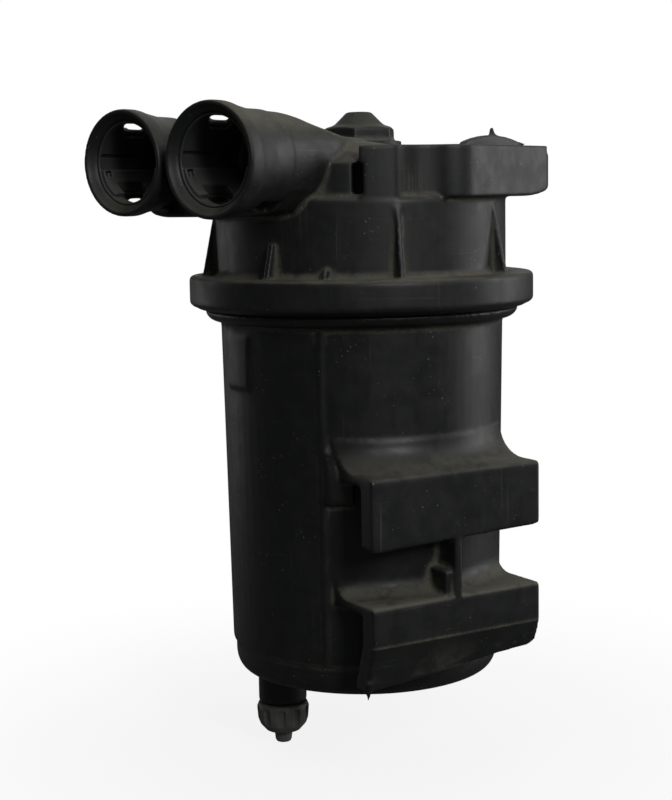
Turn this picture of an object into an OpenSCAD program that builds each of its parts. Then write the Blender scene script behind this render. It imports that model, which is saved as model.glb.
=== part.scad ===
// Canister fuel filter: screw-on lid with two quick-connect port barrels, a bowl with a
// moulded mounting shoe, a pleated element on a spring, a fuel heater and a water drain.
// The canister's axis is Z, the bowl's flat underside is Z = 0, and the ports point along -Y.
// An azimuth is counted from -Y towards +X, seen from above turning left.

/* [Bowl] */
// Outer radius of the bowl wall just under the flange
bowl_r = 45.7; // [44:0.1:48]
// Height of the bowl's flange face, where the lid ring sits
flange_z = 118.2; // [112:0.1:120]
// Wall thickness of the bowl
bowl_wall = 3.5; // [2.5:0.1:4]
// Outer radius of the neck that carries the lid's thread
neck_r = 48.9; // [48:0.1:49.2]
// Height of the top of the neck
neck_top = 127; // [124:0.5:127]

/* [Mounting shoe] */
// Azimuth that the shoe faces
shoe_az = 69; // [60:1:80]
// Distance of the shoe's front face from the axis
shoe_face = 54; // [52:0.5:56]
// Width of both bars of the shoe
shoe_w = 62; // [56:1:64]
// Top of the upper bar
upper_bar_top = 71.3; // [68:0.1:74]
// Top of the lower bar
lower_bar_top = 32.7; // [30:0.1:34]

/* [Lid] */
// Outer radius of the lid ring
ring_r = 55.6; // [54:0.1:57]
// Top of the lid ring
ring_top = 129.1; // [129:0.1:131]
// Outer radius of the lid wall
lid_r = 46.8; // [46.5:0.1:48]
// Height of the lid's deck
deck_z = 153.2; // [150:0.1:156]
// Size of the hexagon on top, across its flats
hex_af = 21.5; // [19:0.5:24]

/* [Ports] */
// Height of the port axes
port_z = 164.5; // [162:0.1:166]
// Distance from the canister axis to the ports' mouths
port_mouth = 77.6; // [70:0.1:82]
// Sideways place of the clean fuel outlet
outlet_x = 4.8; // [3:0.1:6]
// Sideways place of the fuel inlet
inlet_x = -30; // [-32:0.1:-28]
// Radius of the outlet nipple, 3/8 inch quick-connect size
outlet_nipple_r = 4.745; // [3.9:0.005:4.8]
// Radius of the inlet nipple, 5/16 inch quick-connect size
inlet_nipple_r = 3.945; // [3.9:0.005:4.8]

/* [Filter element] */
// Outer radius of the pleated paper
pleat_r = 36.2; // [34:0.1:37]
// Inner radius of the pleated paper
pleat_core = 13.4; // [13.4:0.1:16]
// Number of pleats
pleats = 44; // [24:1:60]
// Height of the element's underside
element_z = 22; // [20:1:24]

/* [Drain] */
// Distance of the drain from the canister axis
drain_reach = 29; // [27:0.5:31]
// Azimuth of the drain
drain_az = -37; // [-45:1:-30]
// Radius of the drain screw's knob
knob_r = 8.6; // [8:0.1:9]
// Number of flutes round the knob
flutes = 10; // [6:1:12]

/* [Hidden] */
$fn = 96;

black_plastic = [0.06, 0.06, 0.065];
rubber_black = [0.03, 0.03, 0.03];

// Bowl
foot_r = bowl_r - 1.6;
step_z = 9.3;
floor_t = 4;
wall_top = 114.5;
bore_r = bowl_r - bowl_wall;
sump_r = foot_r - bowl_wall;
neck_bore = 45.4;
neck_step = 115.2;
flange_r = 51;
seam_az = 21;

// Mounting shoe
bar_t = 3.5;
return_t = 6.7;
web_w = 2.6;

// Lid
lid_in = lid_r - 3;
deck_t = 3;
ring_in = 50.9;
ring_roof = 127.6;
skirt_r = 45.1;
skirt_in = 41.6;
skirt_z = 116.2;
seal_z = 120;
seal_wire = 1.25;
seal_r = neck_bore - seal_wire - 0.05;
pipe_r = 6;
pipe_bore = 4.5;
pipe_z = 128;
passage_r = 3.2;
hex_r = hex_af / sqrt(3);
hex_z = 175;

// Ports: the bore is wide at the mouth and narrow round the nipple
wide_end = 49;
socket_r = 8.2;
socket_end = 38;
nipple_tip = 55;
nipple_root = 31;
nipple_seat = 5.6;
sleeve_near = 75;
sleeve_far = 50;
sleeve_t = 0.75;
rail_t = 1.4;
outlet_mouth_r = 16.9;
inlet_mouth_r = 15.8;
outlet_body_r = 14.8;
inlet_body_r = 13.8;
lip = 1.3;
barrel_wall = 1.3;
collar_end = 56.5;
outlet_bore = outlet_body_r - barrel_wall;
inlet_bore = inlet_body_r - barrel_wall;
window_in = 2.2;
window_out = 8.6;

// Element
cap_t = 4;
cap_r = pleat_r + 1.2;
pleat_z0 = element_z + cap_t - 1;
pleat_z1 = 137.5;
tube_r = 12.8;
tube_wall = 1.2;
screen_r = 11.4;
grommet_r = 8.6;
spring_r = 16;
spring_wire = 1;
spring_turns = 3.5;

// Heater
heater_z = 142.6;
plate_t = 1;
tablet_t = 2;
heater_r = 36;
heater_in = 12;
post_reach = 24;
blade_x = 41.5;
blade_gap = 9;
blade_y = 3.6;
blade_w = 6.3;
blade_t = 0.8;
tab_w = 4;
tab_in = 28;

// Drain
boss_r = 7.9;
boss_z = -11.2;
drain_bore = 5;
drain_clear = 0.05;
drain_pos = pa(drain_reach, drain_az);
knob_top = boss_z - 0.5;
knob_end = -21.3;
tip_end = -25.5;

// Point at radius r and azimuth a
function pa(r, a) = [r * sin(a), -r * cos(a)];
// Arc of radius r round c from azimuth a to b
function arc(c, r, a, b, n = 12) = [for (i = [0:n]) c + pa(r, a + (b - a) * i / n)];

// Turns the children so that their -Y side faces azimuth a
module facing(a) {
    rotate([0, 0, a])
        children();
}

// Upright plate of thickness t, drawn as points of radius and height, facing azimuth a
module fin(a, t, points) {
    facing(a)
        translate([t / 2, 0, 0])
            rotate([90, 0, -90])
                linear_extrude(t)
                    polygon(points);
}

// Upright plate across azimuth a, drawn as points of sideways place and height
module panel(a, near, far, points) {
    facing(a)
        translate([0, -near, 0])
            rotate([90, 0, 0])
                linear_extrude(far - near)
                    polygon(points);
}

// Round bar along -Y from y0 to y1, counted as distances from the canister's axis
module bar_y(x, r, y0, y1) {
    translate([x, -y0, port_z])
        rotate([90, 0, 0])
            cylinder(r = r, h = y1 - y0);
}

// Revolved profile round a port's axis, drawn as points of radius and distance
module turned_y(x, points) {
    translate([x, 0, port_z])
        rotate([90, 0, 0])
            rotate_extrude()
                polygon(points);
}

// Wedge round a port's axis between two clock angles, counted from the top towards -X
module wedge_y(x, r, y0, y1, c0, c1) {
    mid = (c0 + c1) / 2;
    translate([x, -y0, port_z])
        rotate([90, 0, 0])
            linear_extrude(y1 - y0)
                polygon([[0, 0], [-r * sin(c0), r * cos(c0)],
                         [-1.2 * r * sin(mid), 1.2 * r * cos(mid)],
                         [-r * sin(c1), r * cos(c1)]]);
}

// Ring of the canister between two radii and two heights
module ring(r0, r1, z0, z1) {
    difference() {
        translate([0, 0, z0])
            cylinder(r = r1, h = z1 - z0);
        translate([0, 0, z0 - 1])
            cylinder(r = r0, h = z1 - z0 + 2);
    }
}

// ---- Bowl ----

// Outside of the bowl, with a rounded foot below the step
module bowl_outside() {
    foot = [[39.8, 0], [40.9, 0.3], [41.8, 1.1], [42.5, 2.2], [43, 3.6], [43.2, 5.2]];
    rotate_extrude()
        polygon(concat(
            [[0, 0]], foot,
            [[foot_r - 0.9, step_z], [foot_r, step_z + 0.4], [bowl_r, wall_top]],
            [for (i = [0:6]) [bowl_r + 1 + 4 * sin(i * 15), wall_top + 3.7 - 3.7 * cos(i * 15)]],
            [[flange_r, flange_z], [neck_r, flange_z], [neck_r, neck_top - 0.8],
             [neck_r - 0.8, neck_top], [0, neck_top]]));
}

module bowl_cavity() {
    rotate_extrude()
        polygon(concat(
            [[0, neck_top + 1], [neck_bore + 1.5, neck_top + 1], [neck_bore, neck_top - 0.8],
             [neck_bore, neck_step], [bore_r + 0.6, neck_step], [bore_r, neck_step - 1.5],
             [sump_r, floor_t + 5]],
            [for (i = [1:5]) [sump_r - 5 + 5 * cos(i * 18), floor_t + 5 - 5 * sin(i * 18)]],
            [[0, floor_t]]));
}

// Solid of the shoe between two sideways places, drawn as points of reach and height
module slab(x0, x1, points) {
    facing(shoe_az)
        translate([x1, 0, 0])
            rotate([90, 0, -90])
                linear_extrude(x1 - x0)
                    polygon(points);
}

// Bar of the shoe: a plate with a deep left edge, which hangs from a shelf on the bowl
module shoe_bar(front, plate, edge, top) {
    intersection() {
        union() {
            slab(-shoe_w / 2, shoe_w / 2, plate);
            slab(-shoe_w / 2, -shoe_w / 2 + 3, edge);
        }
        panel(shoe_az, 20, shoe_face + 1, front);
    }
    slab(-shoe_w / 2, shoe_w / 2, [[30, top - 3], [shoe_face - 1, top - 3], [shoe_face - 1, top],
                                   [30, top]]);
}

module shoe() {
    left = -shoe_w / 2;
    right = shoe_w / 2;
    upper_low = upper_bar_top - 22;
    lower_low = 6.2;
    crease_z = 20.6;
    bevel = 4.4;
    round_r = 3.5;
    back = shoe_face - bar_t;
    deep = shoe_face - return_t;
    soft = 0.8;
    shoe_bar([[left, upper_bar_top], [right, upper_bar_top], [right, upper_low + 2.6],
              [right - soft, upper_low + 1.9], [left + 1, upper_low], [left, upper_low + 1]],
             [[back, 40], [shoe_face, 40], [shoe_face, upper_bar_top - soft],
              [shoe_face - soft, upper_bar_top], [back, upper_bar_top]],
             [[deep, 40], [shoe_face, 40], [shoe_face, upper_bar_top - soft],
              [shoe_face - soft, upper_bar_top], [deep, upper_bar_top]],
             upper_bar_top);
    shoe_bar(concat([[left, lower_bar_top], [right, lower_bar_top]],
                    arc([right - round_r, 12 + round_r], round_r, 90, 0, 6),
                    [[right - 14, 11.2], [left + 22, lower_low + 1.5], [left, lower_low]]),
             [[back - bevel, lower_low], [shoe_face - bevel, lower_low], [shoe_face, crease_z],
              [shoe_face, lower_bar_top - soft], [shoe_face - soft, lower_bar_top],
              [back, lower_bar_top], [back, crease_z]],
             [[deep - bevel, lower_low], [shoe_face - bevel, lower_low], [shoe_face, crease_z],
              [shoe_face, lower_bar_top - soft], [shoe_face - soft, lower_bar_top],
              [deep, lower_bar_top], [deep, crease_z]],
             lower_bar_top);
    // Web between the bars, and the lug at its foot
    fin(shoe_az, web_w, [[foot_r - 2, lower_bar_top - 2], [shoe_face, lower_bar_top - 2],
                         [shoe_face, upper_low + 3], [foot_r - 2, upper_low + 3]]);
    panel(shoe_az, foot_r - 1, shoe_face - 1,
          [[-4.2, lower_bar_top - 1], [0, lower_bar_top - 1], [0, lower_bar_top + 8],
           [-3.4, lower_bar_top + 8], [-4.2, lower_bar_top + 7.2]]);
    // Roots that carry the bars' plates in the middle, where the bowl comes nearest to them
    panel(shoe_az, foot_r - 2, shoe_face - 1,
          [[-web_w / 2, upper_low + 1], [web_w / 2, upper_low + 1], [web_w / 2, upper_bar_top - 1],
           [-web_w / 2, upper_bar_top - 1]]);
    panel(shoe_az, foot_r - 2, shoe_face - 5.4,
          [[-web_w / 2, 9], [web_w / 2, 9], [web_w / 2, lower_bar_top - 1],
           [-web_w / 2, lower_bar_top - 1]]);
    // Blend of the upper shelf into the bowl
    intersection() {
        rotate_extrude()
            polygon(concat([[foot_r - 1, upper_bar_top - 2], [bowl_r + 9, upper_bar_top - 2],
                            [bowl_r + 9, upper_bar_top]],
                           [for (i = [1:7]) [bowl_r + 9 - 9 * sin(i * 90 / 7),
                                             upper_bar_top + 9 - 9 * cos(i * 90 / 7)]],
                           [[foot_r - 1, upper_bar_top + 9]]));
        panel(shoe_az, 20, shoe_face - 1.5,
              [[left, upper_bar_top - 3], [right, upper_bar_top - 3], [right, upper_bar_top + 12],
               [left - 1, upper_bar_top + 12]]);
    }
    // Raised patch where the upper shelf's left end meets the bowl
    intersection() {
        rotate_extrude()
            polygon([[foot_r - 1.4, upper_bar_top - 10.5], [bowl_r + 1.2, upper_bar_top - 10.5],
                     [bowl_r + 1.7, upper_bar_top - 9], [bowl_r + 1.6, upper_bar_top - 0.7],
                     [bowl_r + 0.6, upper_bar_top + 5], [foot_r - 1.4, upper_bar_top + 8]]);
        panel(shoe_az, 10, shoe_face - 1.5,
              [[left - 2.6, 40], [left + 4, 40], [left + 4, upper_bar_top + 9],
               [left - 2.6, upper_bar_top + 9]]);
    }
    // Blend of the lower shelf into the bowl
    intersection() {
        rotate_extrude()
            polygon(concat([[foot_r - 1, lower_bar_top - 2], [foot_r + 5, lower_bar_top - 2],
                            [foot_r + 5, lower_bar_top]],
                           [for (i = [1:5]) [foot_r + 5 - 4.5 * sin(i * 18),
                                             lower_bar_top + 4.5 - 4.5 * cos(i * 18)]],
                           [[foot_r - 1, lower_bar_top + 4.5]]));
        panel(shoe_az, 20, shoe_face - 1.5,
              [[left, lower_bar_top - 3], [right, lower_bar_top - 3],
               [right, lower_bar_top + 8], [left, lower_bar_top + 8]]);
    }
}

module bowl() {
    color(black_plastic)
        difference() {
            union() {
                difference() {
                    union() {
                        bowl_outside();
                        shoe();
                        // Mould seam
                        fin(seam_az, 1.4, [[foot_r - 1.3, step_z + 0.7], [foot_r + 0.6, step_z + 0.7],
                                           [bowl_r + 0.5, wall_top + 1],
                                           [bowl_r - 1, wall_top + 1]]);
                        // Blank raised pad
                        intersection() {
                            ring(bowl_r - 1, bowl_r + 0.45, 94.5, 110.5);
                            panel(-22, 20, 60, [[-7, 94], [7, 94], [7, 111], [-7, 111]]);
                        }
                    }
                    bowl_cavity();
                }
                // Drain boss under the bowl
                translate([drain_pos.x, drain_pos.y, boss_z])
                    cylinder(r = boss_r, h = floor_t - boss_z - 0.5);
                // Ring that centres the spring on the floor
                ring(spring_r - 5, spring_r - 2.4, floor_t - 1, floor_t + 4);
            }
            // Drain bore and the hole through the floor
            translate([drain_pos.x, drain_pos.y, boss_z - 1])
                cylinder(r = drain_bore, h = -boss_z + 1);
            translate([drain_pos.x, drain_pos.y, -1])
                cylinder(r = 3, h = floor_t + 3);
        }
}

// ---- Lid ----

module lid_shell() {
    groove_h = 1.4;
    rotate_extrude()
        polygon(concat(
            [[0, deck_z - deck_t], [lid_in, deck_z - deck_t], [lid_in, ring_roof + 3],
             [skirt_in, ring_roof + 1], [skirt_in, skirt_z], [skirt_r - 0.8, skirt_z],
             [skirt_r, skirt_z + 1.2], [skirt_r, seal_z - groove_h],
             [seal_r - seal_wire - 0.1, seal_z - groove_h],
             [seal_r - seal_wire - 0.1, seal_z + groove_h], [skirt_r, seal_z + groove_h],
             [skirt_r, ring_roof], [ring_in, ring_roof], [ring_in, flange_z + 0.3],
             [52.8, flange_z + 0.3], [53.4, flange_z + 0.9], [ring_r - 0.9, flange_z + 1.3],
             [ring_r, flange_z + 2.2]],
            [for (i = [0:5]) [ring_r - 1.3 + 1.3 * cos(i * 18), ring_top - 1.3 + 1.3 * sin(i * 18)]],
            [for (i = [0:4]) [lid_r + 1.5 - 1.5 * sin(i * 22.5), ring_top + 1.5 - 1.5 * cos(i * 22.5)]],
            [for (i = [0:4]) [lid_r - 1.2 + 1.2 * cos(i * 22.5), deck_z - 1.2 + 1.2 * sin(i * 22.5)]],
            [[0, deck_z]]));
}

module gussets() {
    for (a = [-45, 51, 99, 147, 195, 243])
        fin(a, 2, [[lid_r - 1, ring_top - 1], [lid_r + 4.4, ring_top - 1],
                   [lid_r + 4.4, ring_top + 0.5], [lid_r + 0.2, deck_z - 2.6],
                   [lid_r - 1, deck_z - 2.6]]);
    fin(3, 2, [[lid_r - 1, ring_top - 1], [lid_r + 4.4, ring_top - 1], [lid_r + 4.4, ring_top + 0.5],
               [lid_r + 1.6, 140], [lid_r - 1, 140]]);
    fin(24.7, 1.6, [[lid_r - 1, ring_top - 1], [lid_r + 4, ring_top - 1], [lid_r + 4, ring_top + 1],
                    [lid_r + 2.6, ring_top + 3], [lid_r - 1, ring_top + 3]]);
}

module hex_top() {
    translate([0, 0, deck_z - 1])
        cylinder(r = hex_r + 1.2, h = 171 - deck_z + 1);
    translate([0, 0, 170])
        cylinder(r = hex_r, h = hex_z - 170, $fn = 6);
    intersection() {
        translate([0, 0, hex_z - 1])
            cylinder(r = hex_r, h = 10, $fn = 6);
        rotate_extrude()
            polygon([[0, hex_z - 1], [hex_r, hex_z - 1], [hex_r - 0.4, hex_z], [8, hex_z + 1.2],
                     [3.9, hex_z + 5.35], [0, hex_z + 5.35]]);
    }
}

// Solid outside of one port barrel, from its flared mouth to its shoulder
module barrel_out(x, mouth, body) {
    turned_y(x, [[0, 24], [8, 24], [8.6, 35], [10.2, 40.5], [body - 1.4, 46], [body - 0.5, 49],
                 [body - 0.25, collar_end - 0.5], [body + 0.1, collar_end], [body + 0.2, 64],
                 [mouth - 0.6, 71], [mouth, 73], [mouth, port_mouth - 0.3],
                 [mouth - 0.3, port_mouth], [0, port_mouth]]);
}

// Full-width root of a barrel, with its top rounded down to the manifold
module barrel_root(x, body) {
    top = port_z + body - 0.4;
    intersection() {
        bar_y(x, body - 0.4, 20, 50);
        translate([x - 20, 0, 0])
            rotate([90, 0, 90])
                linear_extrude(40)
                    polygon([[-20, 140], [-50, 140], [-50, top - 0.3], [-47, top - 1],
                         [-44.5, top - 2.1], [-42, top - 3.5], [-38, top - 4.8],
                         [-35, top - 5.6], [-29.5, 171.6], [-20, 171.2]]);
    }
}

// Windows for the hose latches: upper left with a slanted near end, and two underneath
module windows(x, bore, grow = 0) {
    rim = port_z + bore;
    wide = window_out - window_in + 2 * grow;
    translate([x - window_out - grow, 0, 0])
        rotate([90, 0, 90])
            linear_extrude(wide)
                polygon([[-59.5 + grow, rim - 8], [-59.5 + grow, rim + 4], [-73.5 - grow, rim + 4],
                         [-73.5 - grow, rim], [-65.5 - grow, rim - 4.2], [-63 - grow, rim - 8]]);
    translate([x - window_out - grow, -70 - grow, port_z - bore - 3])
        cube([wide, 10 + 2 * grow, 10]);
    translate([x + window_in - grow, -64.5 - grow, port_z - bore - 3])
        cube([wide, 9 + 2 * grow, 10]);
}

module barrel_cut(x, mouth, bore) {
    turned_y(x, [[0, socket_end], [socket_r, socket_end], [socket_r, wide_end - 1],
                 [socket_r + 0.8, wide_end], [bore, wide_end], [bore, sleeve_near + 0.1],
                 [mouth - lip, 77], [mouth - lip, port_mouth + 1], [0, port_mouth + 1]]);
    windows(x, bore);
}

// Raised front of the deck that joins the barrels to the tower under the hexagon. Its wall
// follows the rim, and its roof slopes up from the wall towards the middle.
module manifold() {
    roof_z = 163.6;
    intersection() {
        rotate([90, 0, 0])
            linear_extrude(46)
                polygon([[-41, deck_z - 1], [28.3, deck_z - 1], [28.3, 168.3], [24, 169.2],
                         [14, 170.6], [8, 171.3], [-36, 171.3], [-39.5, 170], [-41, 167]]);
        rotate_extrude()
            polygon([[16, deck_z - 1], [lid_r - 1.8, deck_z - 1], [lid_r - 1.8, roof_z],
                     [31, 171.3], [16, 171.3]]);
        translate([-60, -60, deck_z - 2])
            cube([120, 44, 40]);
    }
    bar_y(outlet_x, 7, 0, 30);
    // Saddle that joins both barrels underneath
    translate([0, -30, 0])
        rotate([90, 0, 0])
            linear_extrude(30)
                polygon([[inlet_x - 9, 152], [inlet_x - 4, 148.8], [inlet_x, 148.1],
                         [outlet_x, 148.1], [outlet_x + 6, 149.6], [outlet_x + 12, 156],
                         [inlet_x - 11, 158]]);
}

// Wavy guard wall on the deck, and the connector ear that it runs into
module guard() {
    c_b = pa(46.6, 49) - pa(4, 49);
    c_c = c_b + pa(4, 85) + pa(15, 85);
    crease = c_c - pa(15, 33);
    lobe_r = 10.6;
    c_d = crease - pa(lobe_r, 23);
    ear_x = c_d.x + lobe_r;
    ear_r = 6.6;
    ear_end = 33.4;
    t = 2.6;
    top_z = 168.6;
    // Wavy wall
    translate([0, 0, deck_z - 1])
        linear_extrude(top_z - deck_z + 1)
            polygon(concat(arc([0, 0], 46.6, 37, 49), arc(c_b, 4, 49, 85), arc(c_c, -15, 85, 33),
                           arc(c_c, -15 - 3.2, 33, 85), arc(c_b, 0.8, 85, 49),
                           arc([0, 0], 43.4, 49, 37)));
    // Ear: a long rounded pocket, open at the top
    difference() {
        intersection() {
            translate([0, 0, deck_z - 0.4])
                linear_extrude(20)
                    polygon(concat(arc(c_d, lobe_r, 23, 90),
                                   arc([ear_x - ear_r, ear_end], ear_r, 90, 270, 16),
                                   [[ear_x - 2 * ear_r, -8], crease - [3.4, -3.4]]));
            ear_outline(ear_end + ear_r, top_z);
        }
        translate([ear_x - ear_r, 0, deck_z + 1.6])
            linear_extrude(30)
                polygon(concat(arc([0, ear_end], ear_r - t, 90, 270, 12),
                               arc([0, -6], ear_r - t, 270, 450, 12)));
        // The long outer wall is lower than the inner one
        translate([ear_x - ear_r, -40, top_z])
            cube([20, 100, 20]);
    }
    // Small locking tab on the inner wall
    translate([ear_x - 2 * ear_r, 21, 170])
        rotate([90, 0, 90])
            linear_extrude(1.8)
                polygon([[-1.4, 0], [1.4, 0], [0.9, 3], [0.2, 4.6], [-0.4, 4.6], [-0.9, 2.6]]);
}

// Side view of the ear: its free end is a long soft curve above and below, and a low dome
// stands over the inner wall
module ear_outline(end, top_z) {
    long_r = 18;
    tall_r = 5.6;
    dome_r = 62;
    dome_y = 20;
    low = deck_z - 0.4;
    rotate([90, 0, 90])
        linear_extrude(80) {
            polygon(concat([[-40, low]],
                           [for (i = [0:10]) [end - long_r + long_r * sin(9 * i),
                                              low + tall_r - tall_r * cos(9 * i)]],
                           [for (i = [0:10]) [end - long_r + long_r * cos(9 * i),
                                              top_z - tall_r + tall_r * sin(9 * i)]],
                           [[-40, top_z]]));
            polygon(concat([for (i = [0:10]) let (a = 16 - 3.2 * i)
                               [dome_y + dome_r * sin(a), top_z + 3.5 - dome_r + dome_r * cos(a)]],
                           [[dome_y - 16, top_z - 2], [dome_y + 14, top_z - 2]]));
        }
}

module heater_posts(r, z0, z1) {
    for (a = [0, 120, 240])
        translate([pa(post_reach, a).x, pa(post_reach, a).y, z0])
            cylinder(r = r, h = z1 - z0);
}

// Outline of the heater's two blades and of the tabs that carry them on its upper plate
module blade_shapes(grow, height) {
    for (side = [-1, 1])
        translate([0, blade_y + side * blade_gap / 2, heater_z + 2 * plate_t + tablet_t]) {
            translate([blade_x - blade_t / 2 - grow, -blade_w / 2 - grow, 0])
                cube([blade_t + 2 * grow, blade_w + 2 * grow, height]);
            translate([tab_in, -tab_w / 2 - grow, 0])
                cube([blade_x - tab_in, tab_w + 2 * grow, blade_t + grow]);
        }
}

module lid() {
    color(black_plastic)
        difference() {
            union() {
                lid_shell();
                gussets();
                hex_top();
                manifold();
                guard();
                barrel_out(outlet_x, outlet_mouth_r, outlet_body_r);
                barrel_out(inlet_x, inlet_mouth_r, inlet_body_r);
                barrel_root(outlet_x, outlet_body_r);
                barrel_root(inlet_x, inlet_body_r);
                translate([0, 0, pipe_z])
                    cylinder(r = pipe_r, h = deck_z - pipe_z - 1);
                heater_posts(2, heater_z - 0.2, deck_z - 1);
            }
            barrel_cut(outlet_x, outlet_mouth_r, outlet_bore);
            barrel_cut(inlet_x, inlet_mouth_r, inlet_bore);
            // Seats of the nipples and the passages behind them
            bar_y(outlet_x, nipple_seat, nipple_root, socket_end + 1);
            bar_y(inlet_x, nipple_seat, nipple_root, socket_end + 1);
            bar_y(outlet_x, passage_r, 1, socket_end);
            bar_y(inlet_x, passage_r, 22, socket_end);
            translate([0, 0, pipe_z - 1])
                cylinder(r = pipe_bore, h = port_z - pipe_z + 1);
            translate([inlet_x, -23, deck_z - deck_t - 1])
                cylinder(r = passage_r, h = port_z - deck_z + deck_t + 1);
            // Narrow slot beside the guard wall
            panel(36.3, 36, 60, [[-1.5, deck_z + 0.9], [1.5, deck_z + 0.9], [1.5, 163.4],
                                 [-1.5, 163.4]]);
            blade_shapes(0.02, 10);
        }
}

module lid_seal() {
    color(rubber_black)
        rotate_extrude()
            translate([seal_r, seal_z])
                circle(r = seal_wire, $fn = 32);
}

// ---- Ports ----

// Steel quick-connect nipple with its seal groove and a latch bead near the tip
module nipple(x, r) {
    bore = r - 1.25;
    color("silver")
        turned_y(x, [[bore, nipple_root], [nipple_seat - 0.02, nipple_root],
                     [nipple_seat - 0.02, nipple_root + 2], [nipple_seat - 1.5, nipple_root + 2],
                     [nipple_seat - 1.5, nipple_root + 4.2], [nipple_seat - 0.02, nipple_root + 4.2],
                     [nipple_seat - 0.02, socket_end], [r, socket_end], [r, nipple_tip - 1.2],
                     [r - 0.8, nipple_tip], [bore, nipple_tip]]);
}

module nipple_seal(x) {
    color(rubber_black)
        translate([x, -nipple_root - 3.1, port_z])
            rotate([90, 0, 0])
                rotate_extrude()
                    translate([nipple_seat - 0.76, 0])
                        circle(r = 0.74, $fn = 24);
}

// Plastic sleeve that guides the hose connector, with its rails, notches and latch windows
module guide_sleeve(x, bore) {
    inner = bore - sleeve_t;
    color([0.16, 0.16, 0.16])
        difference() {
            union() {
                turned_y(x, [[inner, sleeve_far], [bore - 0.02, sleeve_far],
                             [bore - 0.02, sleeve_near], [inner + 0.25, sleeve_near],
                             [inner, sleeve_near - 0.4]]);
                for (c = [100, 212])
                    intersection() {
                        wedge_y(x, bore, sleeve_far, 74.4, c, c + 48);
                        turned_y(x, [[inner - rail_t, sleeve_far], [inner + 0.2, sleeve_far],
                                     [inner + 0.2, 74.4], [inner - rail_t + 0.5, 74.4],
                                     [inner - rail_t, 73]]);
                    }
            }
            windows(x, bore, 0.4);
            // Pockets near the front of the rails
            for (c = [102, 248])
                intersection() {
                    wedge_y(x, inner, 71.4, 73.6, c, c + 10);
                    turned_y(x, [[inner - rail_t - 1, 71], [inner - 0.1, 71], [inner - 0.1, 74],
                                 [inner - rail_t - 1, 74]]);
                }
            // Spring slot along each side
            for (side = [-1, 1])
                translate([x + side * inner - 2, -74, port_z + 1.9])
                    cube([4, 15, 0.9]);
        }
}

module inlet_nipple() {
    nipple(inlet_x, inlet_nipple_r);
}

module outlet_nipple() {
    nipple(outlet_x, outlet_nipple_r);
}

module inlet_nipple_seal() {
    nipple_seal(inlet_x);
}

module outlet_nipple_seal() {
    nipple_seal(outlet_x);
}

module inlet_guide_sleeve() {
    guide_sleeve(inlet_x, inlet_bore);
}

module outlet_guide_sleeve() {
    guide_sleeve(outlet_x, outlet_bore);
}

// ---- Filter element ----

module pleat_pack() {
    half = 180 / pleats;
    sheet = 0.7;
    tip = 0.9;
    root = 1.7;
    color([0.85, 0.78, 0.55])
        translate([0, 0, pleat_z0])
            linear_extrude(pleat_z1 - pleat_z0)
                difference() {
                    polygon([for (i = [0:pleats - 1]) each
                        [pa(pleat_r, 2 * half * i - tip), pa(pleat_r, 2 * half * i + tip),
                         pa(pleat_core + sheet, 2 * half * i + half)]]);
                    polygon([for (i = [0:pleats - 1]) each
                        [pa(pleat_r - sheet, 2 * half * i),
                         pa(pleat_core, 2 * half * i + half - root),
                         pa(pleat_core, 2 * half * i + half + root)]]);
                }
}

module top_end_cap() {
    color([0.2, 0.22, 0.2])
        difference() {
            union() {
                ring(grommet_r, cap_r, pleat_z1, pleat_z1 + 1.6);
                ring(cap_r - 1.1, cap_r, pleat_z1 - 4, pleat_z1 + 1);
                ring(grommet_r, grommet_r + 1.8, pleat_z1, pleat_z1 + 4);
            }
            for (a = [0:45:315])
                translate([pa(cap_r, a).x, pa(cap_r, a).y, pleat_z1 - 1])
                    cylinder(r = 1.2, h = 5);
        }
}

module bottom_end_cap() {
    color([0.2, 0.22, 0.2]) {
        translate([0, 0, element_z + 1.4])
            cylinder(r = cap_r, h = pleat_z0 - element_z - 1.4);
        ring(cap_r - 1.1, cap_r, pleat_z0 - 0.5, pleat_z0 + 4);
        // Collar that centres the spring
        ring(spring_r - 4, spring_r - 2.4, element_z - 3, element_z + 2);
        // Fins that keep the element in the middle of the bowl
        for (a = [0:60:300])
            fin(a, 1.6, [[cap_r - 0.5, element_z + 1.4], [sump_r - 1.1, element_z + 1.4],
                         [sump_r - 1.1, element_z + 4], [cap_r - 0.5, pleat_z0 + 4]]);
    }
}

module centre_tube() {
    rows = 6;
    pitch = (pleat_z1 - pleat_z0 - 4) / rows;
    color([0.75, 0.75, 0.72])
        difference() {
            ring(tube_r - tube_wall, tube_r, pleat_z0, pleat_z1);
            for (i = [0:rows - 1], a = [0, 60, 120])
                translate([0, 0, pleat_z0 + 4 + i * pitch + (pitch - 4) / 2])
                    rotate([0, 0, a])
                        cube([4, 40, pitch - 4], center = true);
        }
}

module water_screen() {
    color([0.9, 0.9, 0.92])
        ring(screen_r - 0.5, screen_r, pleat_z0, pleat_z1 - 0.2);
}

module element_top_seal() {
    color(rubber_black)
        rotate_extrude()
            polygon([[pipe_r + 0.05, pleat_z1 - 1.2], [grommet_r + 1, pleat_z1 - 1.2],
                     [grommet_r + 1, pleat_z1], [grommet_r, pleat_z1], [grommet_r, pleat_z1 + 4],
                     [grommet_r - 0.8, pleat_z1 + 4.6], [pipe_r + 0.6, pleat_z1 + 4.6],
                     [pipe_r + 0.05, pleat_z1 + 4]]);
}

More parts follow.
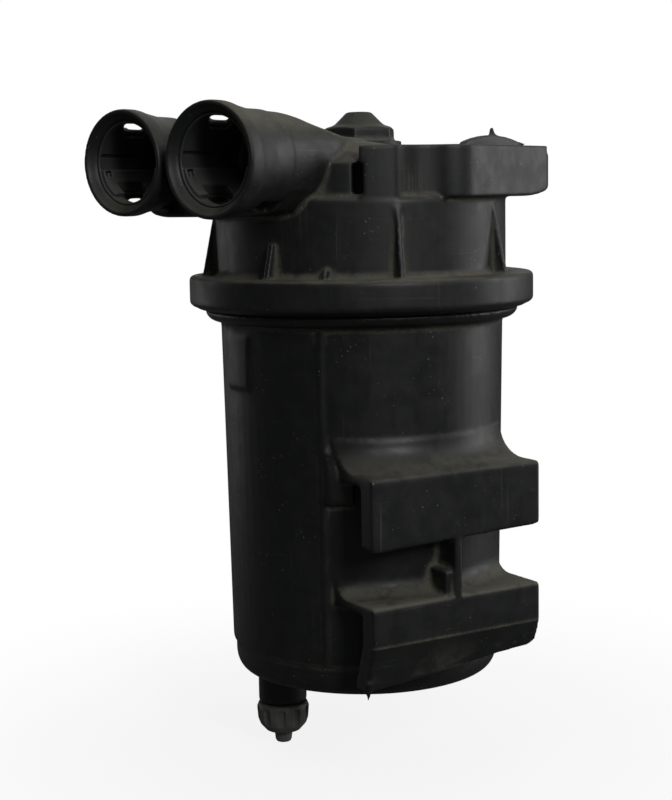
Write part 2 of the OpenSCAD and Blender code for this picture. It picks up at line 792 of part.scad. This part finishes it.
// Coil of round wire with both ends flat on their seats
module element_spring() {
    low = floor_t + spring_wire;
    high = element_z + 1.4 - spring_wire;
    steps = 28;
    sides = 8;
    count = steps * spring_turns;
    function rise(t) = t < 0.75 ? 0 : t > spring_turns - 0.75 ? 1
        : (t - 0.75) / (spring_turns - 1.5);
    function wire_ring(i) = let (t = i / steps, lift = low + (high - low) * rise(t))
        [for (k = [0:sides - 1]) let (b = 360 * k / sides, r = spring_r + spring_wire * cos(b))
            [r * cos(360 * t), r * sin(360 * t), lift + spring_wire * sin(b)]];
    points = [for (i = [0:count]) each wire_ring(i)];
    sides_quads = [for (i = [0:count - 1], k = [0:sides - 1])
        [i * sides + k, i * sides + (k + 1) % sides,
         (i + 1) * sides + (k + 1) % sides, (i + 1) * sides + k]];
    ends = [[for (k = [sides - 1:-1:0]) k], [for (k = [0:sides - 1]) count * sides + k]];
    color("silver")
        polyhedron(points, concat(sides_quads, ends));
}

// ---- Heater ----

module heater_plate(z) {
    difference() {
        ring(heater_in, heater_r, z, z + plate_t);
        heater_posts(2.05, z - 1, z + plate_t + 1);
        for (a = [0:60:300])
            facing(a + 30)
                translate([-3, -heater_r + 1.5, z - 1])
                    cube([6, 8, plate_t + 2]);
    }
}

module heater_lower_plate() {
    color([0.75, 0.76, 0.78])
        heater_plate(heater_z);
}

module heater_upper_plate() {
    color([0.75, 0.76, 0.78])
        heater_plate(heater_z + plate_t + tablet_t);
}

// Ceramic heating tablets between the plates
module heater_tablets() {
    color([0.35, 0.33, 0.32])
        for (a = [60, 180, 300])
            translate([pa(post_reach, a).x, pa(post_reach, a).y, heater_z + plate_t])
                cylinder(r = 7, h = tablet_t);
}

// Two blades that stand in the connector ear and reach in to the heater's plates
module terminal_blades() {
    height = 20.5;
    color("silver")
        difference() {
            blade_shapes(0, height);
            // Detent hole near the top of each blade
            for (side = [-1, 1])
                translate([blade_x - 2, blade_y + side * blade_gap / 2,
                           heater_z + 2 * plate_t + tablet_t + height - 4])
                    rotate([0, 90, 0])
                        cylinder(r = 0.9, h = 4);
        }
}

// ---- Drain ----

module drain_screw() {
    shank = drain_bore - drain_clear;
    groove_z = -4.6;
    translate([drain_pos.x, drain_pos.y, 0])
        color([0.13, 0.13, 0.13])
            difference() {
                rotate_extrude()
                    polygon([[0, tip_end], [2.3, tip_end], [2.7, tip_end + 0.8],
                             [3.2, knob_end + 1], [4.3, knob_end], [knob_r - 3, knob_end],
                             [knob_r - 0.9, knob_end + 2.4], [knob_r - 0.3, knob_end + 4.2],
                             [knob_r, knob_top - 1.6], [knob_r - 0.7, knob_top],
                             [shank, knob_top], [shank, groove_z - 1],
                             [shank - 1.7, groove_z - 1], [shank - 1.7, groove_z + 1],
                             [shank, groove_z + 1], [shank, -1.6], [2.6, -0.4], [2.6, 2.4],
                             [2, 3], [0, 3]]);
                for (i = [0:flutes - 1])
                    rotate([0, 0, 360 * i / flutes])
                        translate([-1.15, -knob_r - 1, knob_end - 1])
                            cube([2.3, 2, knob_top - knob_end - 0.4]);
                // Drain passage from the side of the nose out through the tip
                translate([0, 0, tip_end - 1])
                    cylinder(r = 1.2, h = 26.5, $fn = 24);
            }
}

module drain_seal() {
    color(rubber_black)
        translate([drain_pos.x, drain_pos.y, -4.6])
            rotate_extrude()
                translate([drain_bore - 0.83, 0])
                    circle(r = 0.8, $fn = 24);
}

bowl();
lid();
lid_seal();
inlet_nipple();
outlet_nipple();
inlet_nipple_seal();
outlet_nipple_seal();
inlet_guide_sleeve();
outlet_guide_sleeve();
pleat_pack();
top_end_cap();
bottom_end_cap();
centre_tube();
water_screen();
element_top_seal();
element_spring();
heater_lower_plate();
heater_tablets();
heater_upper_plate();
terminal_blades();
drain_screw();
drain_seal();
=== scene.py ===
# Looks of a screw-top canister fuel filter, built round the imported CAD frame.
import math

import bmesh
import bpy
import numpy as np
from mathutils import Matrix, Vector


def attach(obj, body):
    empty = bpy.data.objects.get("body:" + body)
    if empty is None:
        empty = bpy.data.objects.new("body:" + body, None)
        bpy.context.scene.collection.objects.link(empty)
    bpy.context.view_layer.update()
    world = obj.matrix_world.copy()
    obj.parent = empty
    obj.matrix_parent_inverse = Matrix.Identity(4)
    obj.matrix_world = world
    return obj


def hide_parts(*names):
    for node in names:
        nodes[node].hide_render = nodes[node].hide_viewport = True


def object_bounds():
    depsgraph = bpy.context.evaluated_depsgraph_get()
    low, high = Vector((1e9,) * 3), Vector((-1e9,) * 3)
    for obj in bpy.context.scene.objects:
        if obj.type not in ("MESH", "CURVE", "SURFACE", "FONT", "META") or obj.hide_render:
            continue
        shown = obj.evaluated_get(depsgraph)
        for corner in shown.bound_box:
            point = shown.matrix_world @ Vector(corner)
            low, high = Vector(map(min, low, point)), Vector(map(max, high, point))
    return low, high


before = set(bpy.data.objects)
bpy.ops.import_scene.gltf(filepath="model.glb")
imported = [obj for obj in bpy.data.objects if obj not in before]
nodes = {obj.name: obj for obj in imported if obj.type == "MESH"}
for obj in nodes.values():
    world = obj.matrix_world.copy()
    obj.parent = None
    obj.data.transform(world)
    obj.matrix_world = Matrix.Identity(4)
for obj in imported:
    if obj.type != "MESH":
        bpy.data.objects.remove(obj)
cad_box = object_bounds()
scene = bpy.context.scene
MM = 0.001

# The canister's axis is Z and the ports point along -Y. Lengths below are in millimetres, down
# to the stage, which is in metres.
SHOE_AZ = 69
SHOE_LEFT = -31
SHOE_FACE = 54
UPPER_SHELF_Z = 71.3
LOWER_SHELF_Z = 32.7
CREASE_Z = 20.6
FOOT_STEP_Z = 9.3
RING_TOP = 129.1
PITCH = 5.0
RIDGE_HALF_ROOT = 1.5
RIDGE_HALF_TIP = 0.55

# Most faces that a fine piece and a small piece may keep
MOST_FACES = 190000
SMALL_PIECE_FACES = 90000


# ---------------------------------------------------------------- mesh helpers

def linked(name, mesh):
    ob = bpy.data.objects.new(name, mesh)
    scene.collection.objects.link(ob)
    return ob


def cad_mesh(node):
    """A copy of a CAD node's mesh, in millimetres."""
    mesh = nodes[node].data.copy()
    mesh.transform(Matrix.Scale(1 / MM, 4))
    return mesh


def solid(verts, faces):
    """A mesh from points in millimetres, with its faces turned outwards."""
    mesh = bpy.data.meshes.new("solid")
    mesh.from_pydata([tuple(v) for v in verts], [], faces)
    bm = bmesh.new()
    bm.from_mesh(mesh)
    bmesh.ops.recalc_face_normals(bm, faces=bm.faces)
    bm.to_mesh(mesh)
    bm.free()
    return mesh


def lofted(rings):
    """Closed skin over rings of points with equal counts, with both ends capped."""
    n = len(rings[0])
    verts = [p for ring in rings for p in ring]
    faces = [(i * n + k, i * n + (k + 1) % n, (i + 1) * n + (k + 1) % n, (i + 1) * n + k)
             for i in range(len(rings) - 1) for k in range(n)]
    last = (len(rings) - 1) * n
    faces += [tuple(range(n - 1, -1, -1)), tuple(range(last, last + n))]
    return solid(verts, faces)


def polar(r, azimuth, z=0.0):
    a = math.radians(azimuth)
    return Vector((r * math.sin(a), -r * math.cos(a), z))


def thread_ridge(root, tip, z_low, z_high, start=0.0):
    """Helical ridge of one thread, which fades in and out at its ends."""
    turns = (z_high - z_low) / PITCH
    steps = int(turns * 120)
    rings = []
    for i in range(steps + 1):
        angle = 360 * turns * i / steps
        fade = min(1, angle / 25, (360 * turns - angle) / 25)
        crest = root + (tip - root) * max(fade, 0.05)
        z = z_low + PITCH * angle / 360
        rings.append([polar(r, start + angle, z + dz) for r, dz in (
            (root, -RIDGE_HALF_ROOT), (crest, -RIDGE_HALF_TIP), (crest, RIDGE_HALF_TIP),
            (root, RIDGE_HALF_ROOT))])
    return lofted(rings)


def joined(meshes):
    bm = bmesh.new()
    for mesh in meshes:
        bm.from_mesh(mesh)
    out = bpy.data.meshes.new("joined")
    bm.to_mesh(out)
    bm.free()
    return out


def with_modifiers(mesh, *settings):
    """The mesh after modifiers, each given as (type, {attribute: value})."""
    ob = linked("worked", mesh)
    for kind, values in settings:
        mod = ob.modifiers.new(kind, kind)
        for key, value in values.items():
            setattr(mod, key, value)
    bpy.context.view_layer.update()
    out = bpy.data.meshes.new_from_object(ob.evaluated_get(bpy.context.evaluated_depsgraph_get()))
    bpy.data.objects.remove(ob)
    return out


def points_of(mesh):
    co = np.empty(len(mesh.vertices) * 3, np.float32)
    mesh.vertices.foreach_get("co", co)
    return co.reshape(-1, 3).astype(float)


def normals_of(mesh):
    no = np.empty(len(mesh.vertices) * 3, np.float32)
    mesh.vertex_normals.foreach_get("vector", no)
    return no.reshape(-1, 3).astype(float)


def neighbour_mean(mesh):
    """A function that gives each point the mean of its neighbours' values."""
    ed = np.empty(len(mesh.edges) * 2, np.int32)
    mesh.edges.foreach_get("vertices", ed)
    ed = ed.reshape(-1, 2)
    i = np.concatenate([ed[:, 0], ed[:, 1]])
    j = np.concatenate([ed[:, 1], ed[:, 0]])
    n = len(mesh.vertices)
    count = np.maximum(np.bincount(i, minlength=n), 1)

    def mean(v):
        sums = [np.bincount(i, v[j, k], minlength=n) for k in range(v.shape[1])]
        return np.stack(sums, 1) / count[:, None]
    return mean


def step_in(x, low, high):
    """Smooth step from 0 at low to 1 at high."""
    t = np.clip((x - low) / (high - low), 0, 1)
    return t * t * (3 - 2 * t)


def moulded(name, node, body, material, voxel, rounds, extras=(), soft_zone=None,
            faces=MOST_FACES, dust_and_highlight=None):
    """A CAD node as it leaves its mould: its edges rounded and its corners filled, with what
    extras add merged in. soft_zone gives points that are rounded further, and dust where dirt
    sits, which on the lid also paints a highlight on the manifold's roof. hollow and deep tell how far a
    point lies below its near and its wider surroundings."""
    raw = joined([cad_mesh(node), *extras])
    mesh = with_modifiers(raw, ("REMESH", {"mode": "VOXEL", "voxel_size": voxel, "adaptivity": 0.0}))
    co = points_of(mesh)
    mean = neighbour_mean(mesh)
    for _ in range(rounds):
        co += 0.5 * (mean(co) - co)
    if soft_zone is not None:
        weight, more = soft_zone(co)
        for _ in range(more):
            co += 0.5 * weight[:, None] * (mean(co) - co)
    mesh.vertices.foreach_set("co", co.astype(np.float32).ravel())
    mesh.update()
    no = normals_of(mesh)
    near = co.copy()
    for _ in range(10):
        near = mean(near)
    far = near.copy()
    for _ in range(50):
        far = mean(far)
    hollow = ((near - co) * no).sum(1)
    deep = ((far - co) * no).sum(1)
    # Values of the point attribute: dirt, and on the lid also a painted highlight on the manifold's roof
    lying = dust_and_highlight(co, no, hollow, deep) if dust_and_highlight else np.zeros(len(co))
    mesh.attributes.new("dust_and_highlight", "FLOAT", "POINT").data.foreach_set("value", lying.astype(np.float32))
    count = len(mesh.polygons) * 2
    if count > faces:
        mesh = with_modifiers(mesh, ("TRIANGULATE", {}), ("DECIMATE", {"ratio": faces / count}))
    mesh.transform(Matrix.Scale(MM, 4))
    mesh.polygons.foreach_set("use_smooth", np.ones(len(mesh.polygons), bool))
    mesh.name = name
    mesh.materials.clear()
    mesh.materials.append(material)
    ob = linked(name, mesh)
    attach(ob, body)
    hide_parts(node)


# ---------------------------------------------------------------- material helpers

class Shader:
    """A material's node tree, built from short calls."""

    def __init__(self, name):
        self.mat = bpy.data.materials.new(name)
        self.mat.use_nodes = True
        self.tree = self.mat.node_tree
        self.tree.nodes.clear()
        self.coords = self.add("TexCoord").outputs["Object"]
        self.geo = self.add("NewGeometry")

    def add(self, kind, **values):
        made = self.tree.nodes.new("ShaderNode" + kind)
        for key, value in values.items():
            setattr(made, key, value)
        return made

    def put(self, socket, value):
        if isinstance(value, bpy.types.NodeSocket):
            self.tree.links.new(value, socket)
        else:
            socket.default_value = value

    def math(self, operation, a, b=0.0, clamp=False):
        made = self.add("Math", operation=operation, use_clamp=clamp)
        self.put(made.inputs[0], a)
        self.put(made.inputs[1], b)
        return made.outputs[0]

    def ramp(self, x, low, high, to_low=0.0, to_high=1.0):
        made = self.add("MapRange", interpolation_type="SMOOTHSTEP")
        for key, value in (("Value", x), ("From Min", low), ("From Max", high),
                           ("To Min", to_low), ("To Max", to_high)):
            self.put(made.inputs[key], value)
        return made.outputs["Result"]

    def mix(self, factor, a, b):
        made = self.add("Mix", data_type="RGBA")
        self.put(made.inputs[0], factor)
        self.put(made.inputs[6], a if isinstance(a, bpy.types.NodeSocket) else (*a, 1))
        self.put(made.inputs[7], b if isinstance(b, bpy.types.NodeSocket) else (*b, 1))
        return made.outputs[2]

    def stretched(self, scale, turn):
        made = self.add("Mapping")
        self.put(made.inputs["Vector"], self.coords)
        made.inputs["Scale"].default_value = scale
        made.inputs["Rotation"].default_value = [math.radians(t) for t in turn]
        return made.outputs[0]

    def noise(self, scale, detail=3.0, rough=0.55, vector=None, distortion=0.0):
        made = self.add("TexNoise")
        self.put(made.inputs["Vector"], vector or self.coords)
        for key, value in (("Scale", scale), ("Detail", detail), ("Roughness", rough),
                           ("Distortion", distortion)):
            self.put(made.inputs[key], value)
        return made.outputs["Fac"]

    def dots(self, scale, radius):
        made = self.add("TexVoronoi")
        self.put(made.inputs["Vector"], self.coords)
        self.put(made.inputs["Scale"], scale)
        return self.ramp(made.outputs["Distance"], radius, radius * 0.5)

    def attribute(self, name):
        return self.add("Attribute", attribute_name=name).outputs["Fac"]

    def up(self):
        made = self.add("SeparateXYZ")
        self.put(made.inputs[0], self.geo.outputs["Normal"])
        return made.outputs["Z"]

    def place(self):
        made = self.add("SeparateXYZ")
        self.put(made.inputs[0], self.coords)
        return made.outputs

    def bump(self, height, strength, distance, normal=None):
        made = self.add("Bump")
        self.put(made.inputs["Height"], height)
        self.put(made.inputs["Strength"], strength)
        self.put(made.inputs["Distance"], distance)
        if normal is not None:
            self.put(made.inputs["Normal"], normal)
        return made.outputs[0]

    def finish(self, colour, roughness, normal, metallic=0.0):
        shader = self.add("BsdfPrincipled")
        for key, value in (("Base Color", colour), ("Roughness", roughness), ("Normal", normal),
                           ("Metallic", metallic)):
            self.put(shader.inputs[key], value)
        out = self.add("OutputMaterial")
        self.tree.links.new(shader.outputs[0], out.inputs[0])
        return self.mat


def black_plastic(name, tone=(0.0088, 0.0096, 0.0093), gloss=0.43, film=0.6):
    """Worn plastic with a dust film, dirt in its corners, specks and hairline scratches."""
    s = Shader(name)
    broad = s.noise(38, 4, 0.6)
    patch = s.noise(160, 5, 0.62, distortion=0.4)
    grain = s.noise(4200, 2, 0.6)
    fine = s.noise(1300, 3, 0.6)
    up = s.ramp(s.up(), 0.25, 0.95)
    # Fine dust over all, more where it faces up, and dirt packed into corners; the packed part comes from
    # the point attribute, which on the lid also paints a highlight on the manifold's roof
    thin = s.math("MULTIPLY", s.ramp(patch, 0.35, 0.75), film * 0.35)
    lying = s.math("MULTIPLY", up, s.ramp(patch, 0.3, 0.7, 0.35, 0.9))
    packed_dust_and_highlight = s.math("MULTIPLY", s.attribute("dust_and_highlight"), s.ramp(fine, 0.25, 0.6, 0.45, 1.0))
    packed_dust_and_highlight = s.math("MULTIPLY", packed_dust_and_highlight, s.ramp(patch, 0.28, 0.62, 0.25, 1.0))
    dirt_and_highlight = s.math("ADD", s.math("MULTIPLY", lying, 0.75), packed_dust_and_highlight, clamp=True)
    specks = s.math("MULTIPLY", s.dots(620, 0.16), s.ramp(s.noise(90, 2), 0.52, 0.7))
    # Hairline scratches in three directions
    lines = None
    for turn, stretch in (((0, 0, 20), (30, 30, 1500)), ((25, 0, 60), (900, 26, 900)),
                          ((0, 40, -30), (1100, 1100, 22))):
        one = s.ramp(s.noise(1.0, 2, 0.4, s.stretched(stretch, turn)), 0.69, 0.74)
        lines = one if lines is None else s.math("MAXIMUM", lines, one)
    lines = s.math("MULTIPLY", lines, s.math("MULTIPLY", s.ramp(broad, 0.45, 0.7), 0.6))
    colour = s.mix(s.ramp(broad, 0.3, 0.7), tone, tuple(c * 1.35 for c in tone))
    colour = s.mix(thin, colour, (0.032, 0.034, 0.03))
    # The pale dirt colour, which on the lid also paints the manifold roof's highlight
    colour = s.mix(dirt_and_highlight, colour, (0.115, 0.11, 0.086))
    colour = s.mix(lines, colour, (0.07, 0.068, 0.064))
    colour = s.mix(specks, colour, (0.22, 0.21, 0.18))
    bare = s.ramp(patch, 0.3, 0.7, gloss - 0.04, gloss + 0.07)
    rough = s.math("ADD", bare, s.math("MULTIPLY", dirt_and_highlight, 0.45), clamp=True)
    normal = s.bump(grain, 0.22, 0.00012)
    normal = s.bump(fine, s.math("MULTIPLY", dirt_and_highlight, 0.6), 0.0004, normal)
    return s.finish(colour, rough, normal)


def simple(name, colour, roughness, scale=600, grain=3000, depth=0.00006, metallic=0.0):
    """A finish with two tones in patches and a fine grain."""
    s = Shader(name)
    patch = s.noise(scale, 4, 0.6)
    fine = s.noise(grain, 2, 0.6)
    mixed = s.mix(s.ramp(patch, 0.3, 0.7), colour, tuple(c * 0.75 for c in colour))
    rough = s.ramp(patch, 0.3, 0.7, roughness - 0.05, roughness + 0.07)
    return s.finish(mixed, rough, s.bump(fine, 0.3, depth), metallic)


bowl_black = black_plastic("bowl_black_nylon")
lid_black = black_plastic("lid_black_nylon", tone=(0.0105, 0.0114, 0.011), gloss=0.46, film=0.85)
guide_black = black_plastic("guide_plastic_dark", tone=(0.034, 0.036, 0.035), gloss=0.5, film=0.9)
rubber = simple("nitrile_rubber", (0.008, 0.008, 0.009), 0.62, grain=2500)
steel = simple("turned_steel", (0.52, 0.52, 0.53), 0.3, scale=300, grain=5000, depth=0.00002,
               metallic=1.0)
spring_steel = simple("spring_steel", (0.3, 0.3, 0.31), 0.35, scale=700, metallic=1.0)
cap_green = simple("element_cap_plastic", (0.03, 0.036, 0.03), 0.5)
tube_white = simple("centre_tube_plastic", (0.55, 0.54, 0.48), 0.45)
heater_steel = simple("heater_plate_metal", (0.5, 0.5, 0.52), 0.32, metallic=1.0)
ceramic = simple("heater_ceramic_grey", (0.16, 0.15, 0.14), 0.7)
tinned = simple("tinned_brass", (0.62, 0.6, 0.55), 0.3, metallic=1.0)
knob_grey = black_plastic("drain_knob_worn", tone=(0.12, 0.125, 0.11), gloss=0.5, film=0.6)

# ---------------------------------------------------------------- bowl

SHOE_X = polar(1, SHOE_AZ + 90)
SHOE_N = polar(1, SHOE_AZ)


def shoe_point(x, reach, z):
    return SHOE_X * x + SHOE_N * reach + Vector((0, 0, z))


def bowl_dust(co, no, hollow, deep):
    """Dirt in the corners, on the shoe's shelves, along the lower bar's crease and the foot's step."""
    corner = step_in(hollow, 0.05, 0.22) + 0.6 * step_in(deep, 0.25, 0.9)
    outside = np.hypot(co[:, 0], co[:, 1]) > 43
    across = co[:, 0] * SHOE_X.x + co[:, 1] * SHOE_X.y
    reach = co[:, 0] * SHOE_N.x + co[:, 1] * SHOE_N.y
    shoe = reach > 20
    up = step_in(no[:, 2], 0.25, 0.8)
    z = co[:, 2]
    lower_shelf = up * shoe * (z > LOWER_SHELF_Z - 1.7) * (z < LOWER_SHELF_Z + 6.3)
    upper_shelf = 0.32 * up * shoe * (z > UPPER_SHELF_Z - 2.3) * (z < UPPER_SHELF_Z + 7.7)
    upper_shelf = upper_shelf * step_in(across, -10, 26)
    crease = (reach > SHOE_FACE - 1) * step_in(-np.abs(z - CREASE_Z - 0.1), -0.6, -0.2)
    foot_line = 0.5 * step_in(-np.abs(z - FOOT_STEP_Z - 0.3), -0.9, -0.3)
    return np.clip(corner + lower_shelf + upper_shelf + crease + foot_line, 0, 1) * outside


# Thin spike of flash that hangs from the lower bar's left corner
spike = lofted([[shoe_point(SHOE_LEFT + x, r, z) for x, r in ((a, 48.6), (b, 48.9), (b, 49.9), (a, 49.6))]
                for z, a, b in ((7.5, 0.1, 2.2), (5.6, 0.2, 1.5), (4.2, 0.4, 1.1), (2.8, 0.6, 0.85))])
moulded("bowl_body", "bowl", "bowl", bowl_black, 0.55, 5,
        extras=[thread_ridge(48.3, 50.15, 120.2, 126.0), spike], dust_and_highlight=bowl_dust)

# ---------------------------------------------------------------- lid


def lid_dust_and_highlight(co, no, hollow, deep):
    """Dirt in the corners and on the ring's top at the front, and dust with a painted highlight on the
    manifold's roof.
    """
    corner = step_in(hollow, 0.05, 0.22) + 0.6 * step_in(deep, 0.25, 0.9)
    up = step_in(no[:, 2], 0.3, 0.85)
    turn = np.degrees(np.arctan2(co[:, 0], -co[:, 1]))
    x, y, z = co.T
    ledge = 0.75 * up * (z > RING_TOP - 1.1) * (z < RING_TOP + 3.9)
    ledge = ledge * step_in(turn, -60, -20) * step_in(-turn, -80, -50)
    # The manifold's roof: dust, and a painted highlight where the roof catches the light
    roof_dust_and_highlight = up * (z > 167) * step_in(x, 3, 9) * step_in(-x, -32, -28) * step_in(-y, 18, 24)
    return np.clip(corner + ledge + roof_dust_and_highlight, 0, 1) * (z > 118)


def lid_soft(co):
    """Barrels' roots and the manifold, where the mould has wide blends."""
    rear = step_in(co[:, 1], -52, -46) * step_in(-co[:, 1], 14, 20) * step_in(co[:, 2], 155, 158)
    return rear * step_in(-co[:, 0], -22, -17), 30


moulded("lid_body", "lid", "lid", lid_black, 0.5, 5,
        extras=[thread_ridge(51.2, 49.7, 119.6, 126.6, start=180)],
        soft_zone=lid_soft, dust_and_highlight=lid_dust_and_highlight)

# ---------------------------------------------------------------- small pieces

for port in ("inlet", "outlet"):
    moulded(f"{port}_guide", f"{port}_guide_sleeve", "lid", guide_black, 0.22, 3,
            faces=SMALL_PIECE_FACES)
moulded("drain_screw_body", "drain_screw", "drain", knob_grey, 0.22, 4,
        faces=SMALL_PIECE_FACES)

for name, material in (
        ("lid_seal", rubber), ("inlet_nipple", steel), ("outlet_nipple", steel),
        ("inlet_nipple_seal", rubber),
        ("outlet_nipple_seal", rubber), ("pleat_pack", tube_white), ("top_end_cap", cap_green),
        ("bottom_end_cap", cap_green), ("centre_tube", tube_white), ("water_screen", steel),
        ("element_top_seal", rubber), ("element_spring", spring_steel), ("heater_lower_plate", heater_steel),
        ("heater_tablets", ceramic), ("heater_upper_plate", heater_steel), ("terminal_blades", tinned),
        ("drain_seal", rubber)):
    ob = nodes[name]
    ob.data.materials.clear()
    ob.data.materials.append(material)

# ---------------------------------------------------------------- stage, camera and lights


def emission(name, colour):
    s = Shader(name)
    glow = s.add("Emission")
    glow.inputs["Color"].default_value = (*colour, 1)
    out = s.add("OutputMaterial")
    s.tree.links.new(glow.outputs[0], out.inputs[0])
    return s.mat


def floor_material(tone):
    """Pale floor that takes soft shadows near the object and runs into the backdrop further out."""
    s = Shader("pale_floor")
    place = s.place()
    squares = [s.math("MULTIPLY", place[axis], place[axis]) for axis in "XY"]
    away = s.math("SQRT", s.math("ADD", *squares))
    glow = s.add("Emission")
    glow.inputs["Color"].default_value = (tone, tone, tone, 1)
    paint = s.add("BsdfDiffuse")
    paint.inputs["Color"].default_value = (0.9, 0.9, 0.9, 1)
    mixed = s.add("MixShader")
    s.put(mixed.inputs[0], s.ramp(away, 0.05, 0.22, 0.86, 1.0))
    s.tree.links.new(paint.outputs[0], mixed.inputs[1])
    s.tree.links.new(glow.outputs[0], mixed.inputs[2])
    out = s.add("OutputMaterial")
    s.tree.links.new(mixed.outputs[0], out.inputs[0])
    return s.mat


BACKDROP = 1.0
FLOOR_GAP = 0.0003
disc = bpy.data.meshes.new("floor")
bm = bmesh.new()
bmesh.ops.create_circle(bm, cap_ends=True, segments=96, radius=6)
bm.to_mesh(disc)
bm.free()
floor = linked("floor", disc)
floor.location.z = cad_box[0].z - FLOOR_GAP
disc.materials.append(floor_material(BACKDROP))
dome_mesh = bpy.data.meshes.new("backdrop")
bm = bmesh.new()
bmesh.ops.create_uvsphere(bm, u_segments=48, v_segments=24, radius=5.9)
bm.to_mesh(dome_mesh)
bm.free()
dome = linked("backdrop", dome_mesh)
dome_mesh.materials.append(emission("pale_backdrop", (BACKDROP,) * 3))
for ob in (floor, dome):
    ob.visible_diffuse = False
    ob.visible_glossy = False
    ob.visible_transmission = False
    ob.visible_shadow = False

VIEW_AZ = 37.1
camera_data = bpy.data.cameras.new("camera")
camera_data.lens = 72.12
camera_data.sensor_width = 36
camera_data.clip_start = 0.01
camera_data.clip_end = 50
camera = bpy.data.objects.new("camera", camera_data)
scene.collection.objects.link(camera)
camera.matrix_world = (Matrix.Translation((0.31496, -0.41646, 0.154))
                       @ Matrix.Rotation(math.radians(38.064), 4, "Z")
                       @ Matrix.Rotation(math.radians(82.72), 4, "X")
                       @ Matrix.Rotation(math.radians(-0.95), 4, "Z"))
scene.camera = camera


LIT_POINT = Vector((0, 0, 0.1))


def softbox(name, azimuth, elevation, distance, width, height, radiance):
    """A soft area light aimed at LIT_POINT. Its azimuth is counted from the camera's side towards
    the right, and radiance is its brightness."""
    data = bpy.data.lights.new(name, "AREA")
    data.shape = "RECTANGLE"
    data.size, data.size_y = width, height
    data.energy = radiance * width * height * math.pi
    light = bpy.data.objects.new(name, data)
    scene.collection.objects.link(light)
    a, e = math.radians(VIEW_AZ + azimuth), math.radians(elevation)
    away = Vector((math.sin(a) * math.cos(e), -math.cos(a) * math.cos(e), math.sin(e)))
    light.location = LIT_POINT + away * distance
    light.rotation_mode = "QUATERNION"
    light.rotation_quaternion = away.to_track_quat("Z", "Y")


softbox("key", 27, 27, 1.3, 0.24, 0.45, 15.0)
softbox("right_rim", 105, 14, 1.2, 0.6, 1.0, 2.6)
softbox("left_rim", -128, 12, 1.2, 0.4, 1.0, 0.8)
softbox("top", 10, 80, 1.4, 1.0, 1.0, 1.2)
softbox("back_fill", 180, 30, 1.5, 1.0, 1.0, 1.0)

world = bpy.data.worlds.new("studio")
world.use_nodes = True
world.node_tree.nodes["Background"].inputs["Color"].default_value = (0.06, 0.06, 0.062, 1)
scene.world = world
scene.view_settings.view_transform = "Standard"
